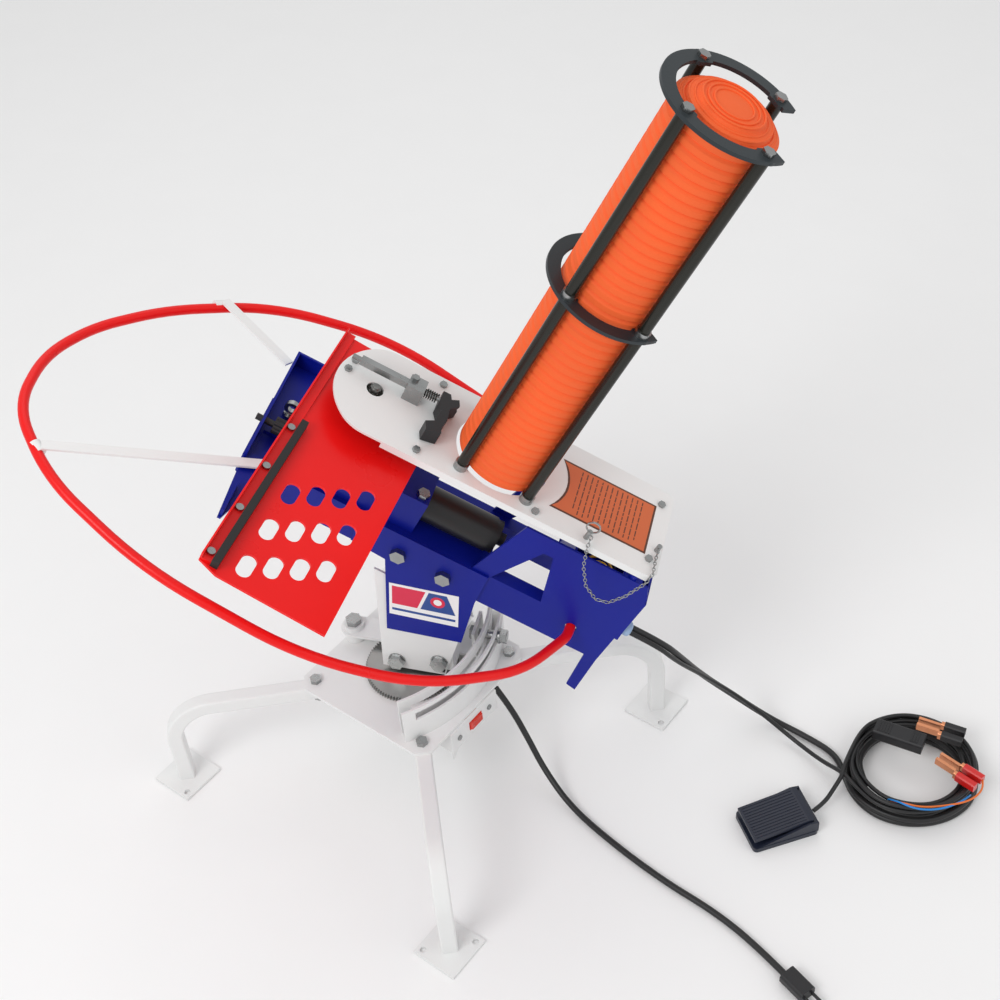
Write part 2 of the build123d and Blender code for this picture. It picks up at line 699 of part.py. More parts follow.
with BuildPart() as top_clay:
    with BuildSketch(MAG_PLANE):
        with BuildLine():
            Polyline(*[(MAG_X + r, STACK_TOP + z) for r, z in
                       ((0, 0), (CLAY_R - 2.5, 0), (CLAY_R, 1.8), (CLAY_R, 8), (CLAY_R - 6, 12), (44, 13),
                        (42, 17), (34, 19), (32, 22), (0, 23))], close=True)
        make_face()
    revolve(axis=MAG_AXIS)
save(top_clay, "top_clay")

# Clay release --------------------------------------------------------------------------------

BAR_Y = -16
with BuildPart() as feed_bar:
    box_between((-40, BAR_Y - 4, 11), (28, BAR_Y + 4, 19))
    with BuildSketch(across(28)):
        with Locations((BAR_Y, 15)):
            Circle(3)
    extrude(amount=10)
    with BuildSketch(across(-82)):
        with Locations((BAR_Y, 15)):
            Circle(3)
    extrude(amount=42)
save(feed_bar, "feed_bar")

with BuildPart() as feed_block:
    box_between((-49, BAR_Y - 10, 0), (-29, BAR_Y + 10, 22))
    box_between((-50, BAR_Y - 4.1, 10.9), (-28, BAR_Y + 4.1, 19.1), mode=Mode.SUBTRACT)
    hex_heads(deck(22), [(-34, BAR_Y - 4)], 8, 4)
save(feed_block, "feed_block")

with BuildPart() as feed_spring:
    with BuildSketch(across(-66)):
        with Locations((BAR_Y, 15)):
            Circle(6)
            Circle(3.6, mode=Mode.SUBTRACT)
    extrude(amount=16.5)
save(feed_spring, "feed_spring")

with BuildPart() as feed_finger:
    with BuildSketch(deck(1.5)):
        with BuildLine():
            Polyline((-68, -26), (-77, -26), (-80, -19), (-88, -24), (-91, -15), (-82, -4),
                     (-84, 14), (-81, 27),
                     (-83, 36), (-66, 40), (-62, 29), (-72, 22), (-74, 4), (-68, -7), close=True)
        make_face()
    extrude(amount=19)
    with BuildSketch(across(-92)):
        with Locations((BAR_Y, 15)):
            Circle(3.03)
    extrude(amount=26, mode=Mode.SUBTRACT)
save(feed_finger, "feed_finger")

with BuildPart() as safety_pin:
    discs(deck(-12), [PIN_AT], 3, 24)
    with BuildSketch(side(PIN_AT[1] + 0.8)):
        with Locations((PIN_AT[0], 19)):
            Circle(8.5)
            Circle(6.9, mode=Mode.SUBTRACT)
    extrude(amount=1.6)
save(safety_pin, "safety_pin")

# Guard hoop ----------------------------------------------------------------------------------

HOOP_POINTS = ((-328, 46.8), (-327, 66), (-288, 142), (-184, 222), (-52, 256), (132, 242), (264, 190),
               (334, 120), (342, 36), (316, -36), (258, -116), (152, -208), (0, -254), (-180, -222),
               (-288, -142), (-327, -66), (-328, -46.8))


def fillet_radii(points, share=0.45):
    """Largest bend radius at each inner point that leaves part of the shorter run straight."""
    radii = []
    for before, here, after in zip(points, points[1:], points[2:]):
        first = Vector(*here) - Vector(*before)
        second = Vector(*after) - Vector(*here)
        half_turn = radians(first.get_angle(second)) / 2
        radii.append(share * min(first.length, second.length) / tan(half_turn))
    return radii


with BuildPart() as guard_hoop:
    with BuildLine(deck(HOOP_Z)) as hoop_path:
        FilletPolyline(*HOOP_POINTS, radius=fillet_radii(HOOP_POINTS))
    with BuildSketch(Plane(hoop_path.line @ 0, z_dir=hoop_path.line % 0)):
        Circle(HOOP_R)
        Circle(HOOP_R - 1.5, mode=Mode.SUBTRACT)
    sweep(path=hoop_path.line)
save(guard_hoop, "guard_hoop")


def strut(start, end):
    """Flat bar from the front bracket out to a sleeve on the hoop."""
    first = HEAD.from_local_coords(start)
    last = HEAD.from_local_coords(end)
    along = (last - first).normalized()
    with BuildSketch(Plane(first, x_dir=along.cross(HEAD.z_dir), z_dir=along), mode=Mode.PRIVATE) as bar:
        Rectangle(12, 3)
    extrude(bar.sketch, amount=(last - first).length)


with BuildPart() as hoop_struts:
    strut((66, 56, DECK_Z + 9.5), (288, 160, HOOP_Z + 8))
    strut((100, -110, DECK_Z + 3), (204, -169, HOOP_Z + 8))
save(hoop_struts, "hoop_struts")

# Cables on the floor -------------------------------------------------------------------------


def cord(name, points, radius):
    """Cable of straight runs and round bends, from face to face."""
    radii = fillet_radii(points)
    print(name, "bend radii", [round(value) for value in radii])
    with BuildPart() as tube:
        with BuildLine() as path:
            FilletPolyline(*points, radius=radii)
        with BuildSketch(Plane(path.line @ 0, z_dir=path.line % 0)):
            Circle(radius)
        sweep(path=path.line)
    length = sum(edge.length for edge in path.edges())
    ratio = tube.part.volume / (length * pi * radius ** 2)
    print(name, "length", round(length), "volume ratio", round(ratio, 4))
    save(tube, name)


GLAND_X = -391.2
COIL_AT = (-620, -59)


def gland_start(y, reach):
    """First two points of a cable that leaves the gland along its axis."""
    first = HEAD.from_local_coords((GLAND_X, y, GLAND_Z))
    second = HEAD.from_local_coords((GLAND_X - reach, y, GLAND_Z))
    return [tuple(first), tuple(second)]


cord("power_cable", gland_start(GLAND_Y - 4, 42) + [
    (-332, -28, 204), (-351, -70, 130), (-393, -105, 54), (-440, -114, 8), (-488, -96, 4.5),
    (-528, -74, 4.5)], CABLE_R)
cord("pedal_cable", gland_start(GLAND_Y + 4.5, 38) + [
    (-329, -16, 209), (-353, -54, 148), (-388, -84, 88), (-428, -99, 36), (-474, -84, 8),
    (-512, -52, 14), (-539, -26, 32)], THIN_R)
cord("pedal_tail", [(-508.5, 24, 12), (-521, 10, 10), (-530, -6, 22), (-541, -16, 32)], THIN_R)
cord("wobble_cable", [
    (-106, -1, 128), (-124, 2, 98), (-146, 14, 60), (-172, 36, 26), (-214, 72, 5), (-278, 116, 4.5),
    (-347, 156, 4.5), (-404, 182, 4.5), (-456, 214, 4.5), (-499, 250, 4.5)], CABLE_R)


def coil(name, low, high, inner, outer):
    """Coiled cable as one closed ring of its outer shape."""
    with BuildPart() as ring:
        with BuildSketch(Plane.XY.offset(low)):
            with Locations(COIL_AT):
                Circle(outer)
                Circle(inner, mode=Mode.SUBTRACT)
        extrude(amount=high - low)
    save(ring, name)


coil("power_coil", 0.5, 24, 58, 87)
coil("pedal_coil", 24.5, 36, 60, 84)


def along_floor(start, end, height):
    """Plane on the floor parts' axis: local z runs from start to end at a height."""
    direction = (Vector(end[0], end[1], 0) - Vector(start[0], start[1], 0)).normalized()
    return Plane((start[0], start[1], height), x_dir=Vector(-direction.Y, direction.X, 0), z_dir=direction)


with BuildPart() as mains_plug:
    plug_plane = along_floor((-499.8, 250.7), (-576, 314), 9)
    with BuildSketch(plug_plane):
        with Locations((0, 0)):
            RectangleRounded(22, 16, 5)
    extrude(amount=34)
    with BuildSketch(plug_plane.offset(34)):
        with Locations((-5.5, 0), (5.5, 0)):
            Rectangle(1.6, 6)
    extrude(amount=16)
save(mains_plug, "mains_plug")

with BuildPart() as inline_connector:
    with BuildSketch(along_floor((-572, -92), (-633, -77), 45.5)):
        RectangleRounded(24, 18, 4)
    extrude(amount=62)
save(inline_connector, "inline_connector")


def clip_half(start, end, height, lean):
    """One half of a battery clip: a handle and a toothed jaw side by side on the clip's axis."""
    plane = along_floor(start, end, height)
    with BuildSketch(plane, mode=Mode.PRIVATE) as handle:
        with Locations((lean * 8, 0)):
            RectangleRounded(7, 11, 2)
    extrude(handle.sketch, amount=30)
    with BuildSketch(plane.offset(30), mode=Mode.PRIVATE) as jaw:
        with Locations((lean * 5, 0)):
            Rectangle(4, 10)
    extrude(jaw.sketch, amount=28)


RED_CLIP = ((-700, -32), (-655, -60), 42)
BLACK_CLIP = ((-680, -100), (-630, -112), 42)
with BuildPart() as clip_handles:
    clip_half(*RED_CLIP, -1)
    clip_half(*BLACK_CLIP, -1)
save(clip_handles, "clip_handles")

with BuildPart() as red_clip_jaw:
    clip_half(*RED_CLIP, 1)
save(red_clip_jaw, "red_clip_jaw")

with BuildPart() as black_clip_jaw:
    clip_half(*BLACK_CLIP, 1)
save(black_clip_jaw, "black_clip_jaw")

PEDAL = Plane(origin=(-466, 44, 0), x_dir=(-0.857, -0.515, 0), z_dir=(0, 0, 1))
with BuildPart() as pedal_base:
    with BuildSketch(PEDAL):
        RectangleRounded(86, 60, 6)
    extrude(amount=7)
    for wall_y in (-29.5, 26.5):
        wall = Plane(PEDAL.from_local_coords((0, wall_y, 0)), x_dir=PEDAL.x_dir, z_dir=-PEDAL.y_dir)
        with BuildSketch(wall):
            with BuildLine():
                Polyline((-40, 6), (42, 6), (42, 22), (30, 24), close=True)
            make_face()
        extrude(amount=-3)
    box_between((38, -27, 6), (42.5, 27, 20), PEDAL)
save(pedal_base, "pedal_base")

with BuildPart() as pedal_treadle:
    with BuildSketch(Plane(PEDAL.from_local_coords((0, 25.8, 0)), x_dir=PEDAL.x_dir, z_dir=-PEDAL.y_dir)):
        with BuildLine():
            Polyline((-41, 15), (34, 22), (37, 25.5), (30, 27.5), (-41, 19.5), close=True)
        make_face()
    extrude(amount=51.6)
save(pedal_treadle, "pedal_treadle")
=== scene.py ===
"""Looks of the clay target thrower, on the frame in model.glb."""

import random
from math import cos, pi, radians, sin

import bpy
from mathutils import Matrix, Vector


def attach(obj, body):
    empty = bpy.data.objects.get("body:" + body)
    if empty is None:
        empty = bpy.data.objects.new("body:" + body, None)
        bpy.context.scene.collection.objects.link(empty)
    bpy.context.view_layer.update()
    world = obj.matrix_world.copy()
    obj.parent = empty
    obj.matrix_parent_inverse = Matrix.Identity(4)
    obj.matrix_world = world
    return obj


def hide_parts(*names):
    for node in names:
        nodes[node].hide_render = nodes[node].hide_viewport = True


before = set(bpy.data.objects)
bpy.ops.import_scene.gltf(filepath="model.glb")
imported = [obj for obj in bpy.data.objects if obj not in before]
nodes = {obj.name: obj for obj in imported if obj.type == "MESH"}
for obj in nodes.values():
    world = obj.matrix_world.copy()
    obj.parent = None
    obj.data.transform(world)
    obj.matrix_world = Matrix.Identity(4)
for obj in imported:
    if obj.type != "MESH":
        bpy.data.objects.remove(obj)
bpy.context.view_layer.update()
MM = 0.001

# Head frame: x forward, y left, z up through the magazine, from the spindle's top
TILT = radians(28.2)
SPINDLE = Vector((9.0, -37.0, 563.5))
HEAD_X = Vector((cos(TILT), 0, sin(TILT)))
HEAD_Y = Vector((0, 1, 0))
HEAD_Z = Vector((-sin(TILT), 0, cos(TILT)))


def head(x, y, z):
    """Point of the tilted head, in metres."""
    return (SPINDLE + HEAD_X * x + HEAD_Y * y + HEAD_Z * z) * MM


def point(x, y, z):
    """Point of the row frame, in metres."""
    return Vector((x, y, z)) * MM


# Camera --------------------------------------------------------------------------------------


def add_camera(azimuth, elevation, roll, lens, place):
    """Camera aimed by its angles, with the lens in millimetres on a 36 mm film."""
    turn, rise, lean = radians(azimuth), radians(elevation), radians(roll)
    back = Vector((sin(turn) * cos(rise), -cos(turn) * cos(rise), sin(rise)))
    level_right = (-back).cross(Vector((0, 0, 1))).normalized()
    level_up = back.cross(level_right)
    right = level_right * cos(lean) + level_up * sin(lean)
    up = level_up * cos(lean) - level_right * sin(lean)
    data = bpy.data.cameras.new("camera")
    data.lens = lens
    data.sensor_width = 36
    camera = bpy.data.objects.new("camera", data)
    bpy.context.scene.collection.objects.link(camera)
    axes = Matrix((right, up, back)).transposed().to_4x4()
    camera.matrix_world = Matrix.Translation(place) @ axes
    bpy.context.scene.camera = camera


add_camera(197.12, 42.80, -5.02, 56.12, point(-504.6, 1205.2, 1622.5))

# Materials -----------------------------------------------------------------------------------


def material(name, colour, roughness, metallic=0.0, grain=60.0, variation=0.12, bump=0.05, coat=0.0,
             shine=0.5):
    """Surface with fine grain, uneven tone and gloss, and a slight bump."""
    made = bpy.data.materials.new(name)
    made.use_nodes = True
    tree = made.node_tree
    shader = tree.nodes["Principled BSDF"]
    shader.inputs["Metallic"].default_value = metallic
    shader.inputs["Specular IOR Level"].default_value = shine
    shader.inputs["Coat Weight"].default_value = coat
    shader.inputs["Coat Roughness"].default_value = 0.12
    place = tree.nodes.new("ShaderNodeTexCoord")
    broad = tree.nodes.new("ShaderNodeTexNoise")
    broad.inputs["Scale"].default_value = grain / 6
    broad.inputs["Detail"].default_value = 5
    fine = tree.nodes.new("ShaderNodeTexNoise")
    fine.inputs["Scale"].default_value = grain * 12
    fine.inputs["Detail"].default_value = 3
    for texture in (broad, fine):
        tree.links.new(place.outputs["Object"], texture.inputs["Vector"])
    tone = tree.nodes.new("ShaderNodeMix")
    tone.data_type = "RGBA"
    tone.inputs[6].default_value = (*[value * (1 - variation) for value in colour], 1)
    tone.inputs[7].default_value = (*[min(1, value * (1 + variation)) for value in colour], 1)
    tree.links.new(broad.outputs["Fac"], tone.inputs[0])
    tree.links.new(tone.outputs[2], shader.inputs["Base Color"])
    gloss = tree.nodes.new("ShaderNodeMapRange")
    gloss.inputs["To Min"].default_value = max(0.03, roughness - 0.10)
    gloss.inputs["To Max"].default_value = min(1.0, roughness + 0.10)
    tree.links.new(broad.outputs["Fac"], gloss.inputs["Value"])
    tree.links.new(gloss.outputs["Result"], shader.inputs["Roughness"])
    relief = tree.nodes.new("ShaderNodeBump")
    relief.inputs["Strength"].default_value = bump
    relief.inputs["Distance"].default_value = 0.0006
    tree.links.new(fine.outputs["Fac"], relief.inputs["Height"])
    tree.links.new(relief.outputs["Normal"], shader.inputs["Normal"])
    return made


WHITE = material("white_powder_coat", (0.80, 0.805, 0.80), 0.40, variation=0.03, bump=0.10)
BLUE = material("blue_powder_coat", (0.003, 0.010, 0.26), 0.36, variation=0.10, bump=0.10, shine=0.22)
RED = material("red_enamel", (0.82, 0.006, 0.006), 0.30, variation=0.10, bump=0.06, shine=0.3)
ZINC = material("zinc_plate", (0.36, 0.37, 0.37), 0.27, 1.0, grain=200, variation=0.25, bump=0.12)
STEEL = material("gear_steel", (0.34, 0.34, 0.33), 0.34, 1.0, grain=150, variation=0.30, bump=0.15)
BLACK_STEEL = material("black_tube", (0.014, 0.014, 0.010), 0.26, 0.3, variation=0.25, shine=0.5)
SLATE = material("slate_ring", (0.022, 0.030, 0.035), 0.40, 0.1, variation=0.2, bump=0.12, shine=0.4)
MOTOR = material("motor_black", (0.010, 0.010, 0.011), 0.40, variation=0.2, bump=0.15)
RUBBER = material("black_rubber", (0.012, 0.012, 0.012), 0.65, variation=0.2, bump=0.25)
SHEATH = material("cable_sheath", (0.010, 0.010, 0.011), 0.42, variation=0.2, bump=0.10)
PLASTIC = material("black_plastic", (0.012, 0.012, 0.014), 0.45, variation=0.2, bump=0.15)
NAVY = material("navy_plastic", (0.010, 0.014, 0.030), 0.40, variation=0.2, bump=0.12)
CLAY = material("orange_clay", (0.90, 0.125, 0.020), 0.70, grain=90, variation=0.10, bump=0.35)
ROCKER = material("red_rocker", (0.70, 0.03, 0.012), 0.22, variation=0.1, coat=0.5)
GLAND = material("gland_nylon", (0.30, 0.42, 0.60), 0.35, variation=0.1)
COPPER = material("copper_jaw", (0.80, 0.34, 0.18), 0.30, 1.0, grain=200, variation=0.2, bump=0.12)
CLIP_RED = material("clip_red", (0.62, 0.010, 0.008), 0.32, variation=0.12, coat=0.3)
LABEL = material("label_orange", (0.62, 0.13, 0.035), 0.40, variation=0.05, bump=0.02)
LABEL_DARK = material("label_dark", (0.10, 0.03, 0.012), 0.45, variation=0.1, bump=0.02)
YELLOW = material("yellow_wire", (0.75, 0.42, 0.02), 0.40, variation=0.1)
WIRE_BLUE = material("blue_wire", (0.01, 0.22, 0.62), 0.40, variation=0.1)
WIRE_ORANGE = material("orange_wire", (0.75, 0.16, 0.02), 0.40, variation=0.1)

FINISHES = {
    WHITE: ("base_plate leg_front leg_left leg_rear leg_right switch_panel arc_guide swing_platform "
            "tilt_bracket magazine_plate hoop_struts"),
    BLUE: "main_frame pedestal front_bracket rear_box gearbox",
    RED: "arm_plate arm_rail guard_hoop",
    ZINC: ("base_fasteners head_bolts swing_bolts rail_screws rod_collars feed_bar feed_block safety_pin "
           "spring_anchor"),
    STEEL: "crank_gear drive_pinion motor_shaft spindle main_spring",
    BLACK_STEEL: "magazine_rods feed_spring spindle_bearings",
    SLATE: "middle_ring top_ring",
    MOTOR: "gear_motor wobble_motor",
    RUBBER: "rubber_strip",
    SHEATH: "power_cable pedal_cable pedal_tail wobble_cable power_coil pedal_coil",
    PLASTIC: "tension_knob feed_finger mains_plug inline_connector",
    NAVY: "pedal_base pedal_treadle",
    CLAY: "clay_stack top_clay",
    ROCKER: "rocker_switch",
    GLAND: "cable_gland",
    COPPER: "red_clip_jaw black_clip_jaw clip_handles",
}


def dress(piece, finish):
    """Gives a piece one material."""
    piece.data.materials.clear()
    piece.data.materials.append(finish)


for finish, names in FINISHES.items():
    for name in names.split():
        dress(nodes[name], finish)

# Shapes --------------------------------------------------------------------------------------


def add_mesh(name, vertices, faces, finish, body=None, smooth=False):
    """Mesh piece in the row frame."""
    data = bpy.data.meshes.new(name)
    data.from_pydata([tuple(v) for v in vertices], [], faces)
    data.update()
    if smooth:
        data.shade_smooth()
    piece = bpy.data.objects.new(name, data)
    bpy.context.scene.collection.objects.link(piece)
    dress(piece, finish)
    if body:
        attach(piece, body)
    return piece


def slabs(name, outlines, origin, across, up, low, high, finish, body):
    """Flat slabs cut from outlines in millimetres, on a plane given by two directions."""
    out = across.cross(up)
    vertices, faces = [], []
    for outline in outlines:
        base = len(vertices)
        count = len(outline)
        for level in (low, high):
            vertices += [origin + (across * x + up * y + out * level) * MM for x, y in outline]
        faces.append([base + i for i in reversed(range(count))])
        faces.append([base + count + i for i in range(count)])
        for i in range(count):
            j = (i + 1) % count
            faces.append([base + i, base + j, base + count + j, base + count + i])
    return add_mesh(name, vertices, faces, finish, body)


def add_curve(name, points, radius, finish, body=None):
    """Round tube along one open smooth curve, with points in metres."""
    data = bpy.data.curves.new(name, "CURVE")
    data.dimensions = "3D"
    data.bevel_depth = radius * MM
    data.bevel_resolution = 4
    data.resolution_u = 8
    data.use_fill_caps = True
    spline = data.splines.new("NURBS")
    spline.points.add(len(points) - 1)
    for control, place in zip(spline.points, points):
        control.co = (*place, 1)
    spline.order_u = 3
    spline.use_endpoint_u = True
    piece = bpy.data.objects.new(name, data)
    bpy.context.scene.collection.objects.link(piece)
    dress(piece, finish)
    if body:
        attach(piece, body)
    return piece


def helix(start, end, radius, turns, steps=14):
    """Points of a coil spring between two points, in metres."""
    along = end - start
    side = along.cross(HEAD_Y).normalized()
    other = along.cross(side).normalized()
    points = []
    for index in range(turns * steps + 1):
        angle = 2 * pi * index / steps
        share = index / (turns * steps)
        points.append(start + along * share + (side * cos(angle) + other * sin(angle)) * radius * MM)
    return points


# Cables --------------------------------------------------------------------------------------

COIL_X, COIL_Y = -620, -59
COIL_STEP = 24
COIL_WANDER = 1.6
COIL_OVAL = 0.035
CHANGE_AT = 0.7
random.seed(4)


def coil_turns(first_angle, last_angle, radii, heights):
    """Control points of loosely laid turns, slightly oval, one radius and height for each turn."""
    points = []
    angle = first_angle
    while angle < last_angle:
        turn = int((angle - first_angle) // 360)
        share = ((angle - first_angle) % 360) / 360
        blend = max(0.0, (share - CHANGE_AT) / (1 - CHANGE_AT))
        after = min(turn + 1, len(radii) - 1)
        radius = radii[turn] * (1 - blend) + radii[after] * blend
        radius += random.uniform(-COIL_WANDER, COIL_WANDER)
        height = heights[turn] * (1 - blend) + heights[after] * blend
        radius *= 1 + COIL_OVAL * sin(radians(2 * angle + 40))
        along, side = radius * cos(radians(angle)), radius * sin(radians(angle))
        points.append(point(COIL_X + along, COIL_Y + side, height))
        angle += COIL_STEP
    return points


GLAND_X, GLAND_Z = -391.2, -122
power_points = [
    head(GLAND_X, 33.5, GLAND_Z), head(GLAND_X - 42, 33.5, GLAND_Z), point(-332, -28, 204),
    point(-351, -70, 130), point(-393, -105, 54), point(-440, -114, 8), point(-488, -96, 4.5),
    point(-528, -74, 4.5)]
POWER_RADII = (79, 71, 63, 79, 71, 63, 63)
POWER_HEIGHTS = (4.6, 4.6, 4.6, 12.8, 12.8, 12.8, 20)
power_points += coil_turns(12, 12 + 360 * 6 + 40, POWER_RADII, POWER_HEIGHTS)
pedal_points = [
    head(GLAND_X, 42, GLAND_Z), head(GLAND_X - 38, 42, GLAND_Z), point(-329, -16, 209),
    point(-353, -54, 148), point(-388, -84, 88), point(-428, -99, 36), point(-474, -84, 8),
    point(-512, -52, 14), point(-539, -26, 32)]
PEDAL_RADII = (78, 71.5, 65, 75, 75)
PEDAL_HEIGHTS = (27.5, 27.5, 27.5, 33.2, 33.2)
pedal_points += coil_turns(40, 40 + 360 * 3 + 310, PEDAL_RADII, PEDAL_HEIGHTS)
pedal_points += [
    point(-540, -42, 33), point(-538, -22, 31), point(-530, -6, 24), point(-521, 10, 14),
    point(-508.5, 24, 12)]
wobble_points = [
    point(-106, -1, 128), point(-124, 2, 98), point(-146, 14, 60), point(-172, 36, 26), point(-214, 72, 5),
    point(-278, 116, 4.5), point(-347, 156, 4.5), point(-404, 182, 4.5), point(-456, 214, 4.5),
    point(-499, 250, 4.5)]

MAINS_RADIUS = 4.0
PEDAL_RADIUS = 2.75
power_lead = add_curve("power_lead", power_points, MAINS_RADIUS, SHEATH, "base")
pedal_lead = add_curve("pedal_lead", pedal_points, PEDAL_RADIUS, SHEATH, "base")
wobble_lead = add_curve("wobble_lead", wobble_points, MAINS_RADIUS, SHEATH, "base")
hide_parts("power_cable", "power_coil")
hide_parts("pedal_cable", "pedal_coil", "pedal_tail")
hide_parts("wobble_cable")

# Springs -------------------------------------------------------------------------------------

main_turns = helix(head(42.5, -30, -160), head(65.5, -30, -160), 7.6, 8)
main_coil = add_curve("main_spring_coil", main_turns, 1.3, STEEL, "head")
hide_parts("main_spring")
feed_turns = helix(head(-65.5, -16, 15), head(-50, -16, 15), 5.2, 6)
feed_coil = add_curve("feed_spring_coil", feed_turns, 0.7, BLACK_STEEL, "head")
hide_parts("feed_spring")

# Label and decal -----------------------------------------------------------------------------


LABEL_FRONT, LABEL_REAR = -225, -345
LABEL_HALF = 39
LABEL_HOLLOW = 13
HOLLOW_STEPS = 10


def label_outline(inset):
    """Rectangle with a hollow curved front edge that follows the drop hole."""
    front_x = LABEL_FRONT - inset
    rear_x = LABEL_REAR + inset
    left = LABEL_HALF - inset
    front = [(front_x, left)]
    for step in range(1, HOLLOW_STEPS):
        y = left - step * 2 * left / HOLLOW_STEPS
        front.append((front_x - LABEL_HOLLOW * (1 - (y / LABEL_HALF) ** 2), y))
    front.append((front_x, -left))
    return [(rear_x, left)] + front + [(rear_x, -left)]


TOP = head(0, 0, 0)
slabs("label_edge", [label_outline(0)[::-1]], TOP, HEAD_X, HEAD_Y, 0.05, 0.25, LABEL_DARK, "head")
slabs("label_face", [label_outline(2.5)[::-1]], TOP, HEAD_X, HEAD_Y, 0.25, 0.40, LABEL, "head")


PRINT_ROWS = 13
PRINT_PITCH = 6.4
PRINT_HALF = 33
BAR_HIGH = 1.3
BAR_GAP = 1.8


def text_bars():
    """Rows of short plain bars in place of small print."""
    bars = []
    for row in range(PRINT_ROWS):
        x = -252 - row * PRINT_PITCH
        y = -PRINT_HALF
        while y < PRINT_HALF - 5:
            width = min(random.uniform(4, 11), PRINT_HALF - y)
            bars.append([(x, y), (x + BAR_HIGH, y), (x + BAR_HIGH, y + width), (x, y + width)])
            y += width + BAR_GAP
    return bars


slabs("label_print", text_bars(), TOP, HEAD_X, HEAD_Y, 0.40, 0.47, LABEL_DARK, "head")

DECAL_FACE = point(-33, 16.3, 284)
DECAL_RIGHT = Vector((-0.9945, 0, -0.104))
DECAL_UP = Vector((-0.104, 0, 0.9945))


def ring_outline(x, y, radius, steps=28):
    """Round outline."""
    angles = [2 * pi * i / steps for i in range(steps)]
    return [(x + radius * cos(angle), y + radius * sin(angle)) for angle in angles]


DECAL_BLUE = material("decal_blue", (0.01, 0.06, 0.28), 0.35, variation=0.05, bump=0.02)
DECAL_RED = material("decal_red", (0.70, 0.01, 0.06), 0.35, variation=0.05, bump=0.02)
DECAL_WHITE = material("decal_white", (0.88, 0.88, 0.88), 0.35, variation=0.03, bump=0.02)
for part_name, outlines, low, high, finish in (
    ("decal_back", [[(-42.5, -27), (42.5, -27), (42.5, 27), (-42.5, 27)]], 0.05, 0.25, DECAL_WHITE),
    ("decal_band_red", [[(-39, -8), (-8, -8), (2, 23), (-39, 23)]], 0.25, 0.35, DECAL_RED),
    ("decal_band_blue", [[(-4, -8), (39, -8), (28, 23), (6, 23)]], 0.25, 0.35, DECAL_BLUE),
    ("decal_stripe", [[(-39, -19), (39, -19), (39, -15), (-39, -15)]], 0.25, 0.35, DECAL_BLUE),
    ("decal_ring", [ring_outline(17, 9, 9)], 0.35, 0.42, DECAL_RED),
    ("decal_dot", [ring_outline(17, 9, 5)], 0.42, 0.48, DECAL_WHITE),
):
    slabs(part_name, outlines, DECAL_FACE, DECAL_RIGHT, DECAL_UP, low, high, finish, "head")

# Chain from the safety pin to its stud -------------------------------------------------------


LINK_LONG = 2.7
LINK_WIDE = 1.7
LINK_WIRE = 0.55
LINK_PITCH = 4.3


def link_mesh(centre, along, across, vertices, faces):
    """Adds one oval chain link."""
    normal = along.cross(across)
    base = len(vertices)
    around, tube = 12, 6
    for i in range(around):
        angle = 2 * pi * i / around
        spine = along * cos(angle) * LINK_LONG + across * sin(angle) * LINK_WIDE
        outward = (along * cos(angle) + across * sin(angle)).normalized()
        for j in range(tube):
            turn = 2 * pi * j / tube
            skin = outward * cos(turn) * LINK_WIRE + normal * sin(turn) * LINK_WIRE
            vertices.append(centre + (spine + skin) * MM)
    for i in range(around):
        for j in range(tube):
            a, b = i * tube + j, i * tube + (j + 1) % tube
            c, d = ((i + 1) % around) * tube + (j + 1) % tube, ((i + 1) % around) * tube + j
            faces.append([base + a, base + b, base + c, base + d])


# The chain hangs from the pin's ring, round a low bend and up to its stud
CHAIN = [(-277, 64, 15), (-279, 72, 2), (-288, 75, -24), (-304, 75, -50), (-322, 75, -62), (-336, 75, -58),
         (-347, 74, -38), (-356, 72, -8), (-358, 66, 4), (-357, 46, 5), (-357, 31, 6)]


def chain(name, route, pitch, body):
    """Links laid end to end along a route, each turned a quarter from the last."""
    places = [head(*place) for place in route]
    vertices, faces = [], []
    travelled, index = 0.0, 0
    for first, second in zip(places, places[1:]):
        run = (second - first).length / MM
        along = (second - first).normalized()
        side = along.cross(HEAD_Y + HEAD_Z * 0.3).normalized()
        while travelled < run:
            across = side if index % 2 else along.cross(side)
            link_mesh(first + along * travelled * MM, along, across, vertices, faces)
            travelled += pitch
            index += 1
        travelled -= run
    return add_mesh(name, vertices, faces, ZINC, body, smooth=True)


chain("safety_chain", CHAIN, LINK_PITCH, "head")

# Small pieces --------------------------------------------------------------------------------


def ridge(name, centre, radius, tube, finish, body):
    """Round raised ridge lying square to the head's upright axis."""
    vertices, faces = [], []
    around, section = 64, 8
    for i in range(around):
        angle = 2 * pi * i / around
        outward = HEAD_X * cos(angle) + HEAD_Y * sin(angle)
        for j in range(section):
            turn = 2 * pi * j / section
            offset = outward * (radius + cos(turn) * tube) + HEAD_Z * (sin(turn) * tube)
            vertices.append(centre + offset * MM)
    for i in range(around):
        for j in range(section):
            k, m = (i + 1) % around, (j + 1) % section
            faces.append([i * section + j, k * section + j, k * section + m, i * section + m])
    add_mesh(name, vertices, faces, finish, body, smooth=True)


CLAY_PITCH = 11.4
CLAY_TOP = 3 + 42 * CLAY_PITCH
MAGAZINE_X = -158
RIDGE_TUBE = 1.1
RIDGES = ((49.5, 10.6), (45.5, 12.8), (42, 16.6), (37, 18.2), (31.5, 22.6), (26, 22.7), (20, 22.7))
for ridge_index, (ridge_radius, ridge_height) in enumerate(RIDGES):
    ridge_centre = head(MAGAZINE_X, 0, CLAY_TOP + ridge_height)
    ridge(f"clay_ridge_{ridge_index}", ridge_centre, ridge_radius, RIDGE_TUBE, CLAY, "clays")


